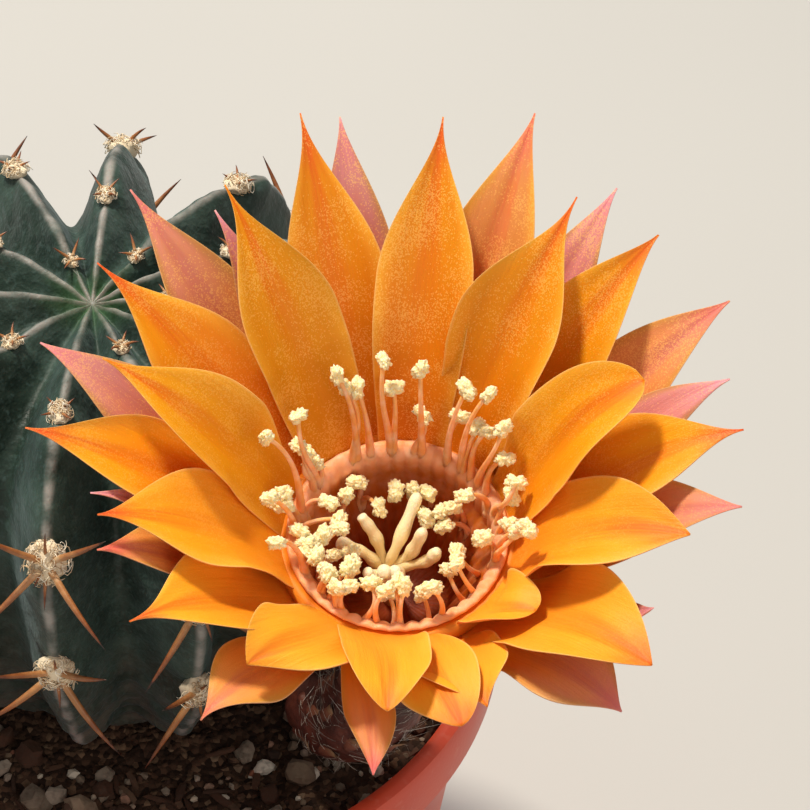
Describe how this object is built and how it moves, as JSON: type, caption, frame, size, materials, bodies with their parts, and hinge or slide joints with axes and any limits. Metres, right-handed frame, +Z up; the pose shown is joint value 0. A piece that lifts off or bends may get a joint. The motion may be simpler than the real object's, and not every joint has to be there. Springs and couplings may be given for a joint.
{
  "type": "potted lobivia",
  "caption": "Small round ribbed cactus in a plastic pot of gritty soil, with one wide open orange flower on a scaly tube.",
  "frame": {"origin": "centre of the pot's flat underside", "axes": "+Z up along the pot's axis, -Y towards the side that the open flower leans to"},
  "size_m": [0.1268, 0.1174, 0.1697],
  "materials": {
    "pot_plastic": "satin",
    "gritty_soil": "matte",
    "cactus_skin": "matte",
    "woolly_tube": "matte",
    "outer_tepal": "satin",
    "inner_tepal": "satin",
    "stamen": "satin",
    "stigma": "satin"
  },
  "bodies": {
    "root": {"pot": "pot_plastic", "soil": "gritty_soil", "stem": "cactus_skin", "floral_tube": "woolly_tube", "outer_tepals": "outer_tepal", "inner_tepals": "inner_tepal", "stamens": "stamen", "style": "stigma"}
  },
  "joints": []
}
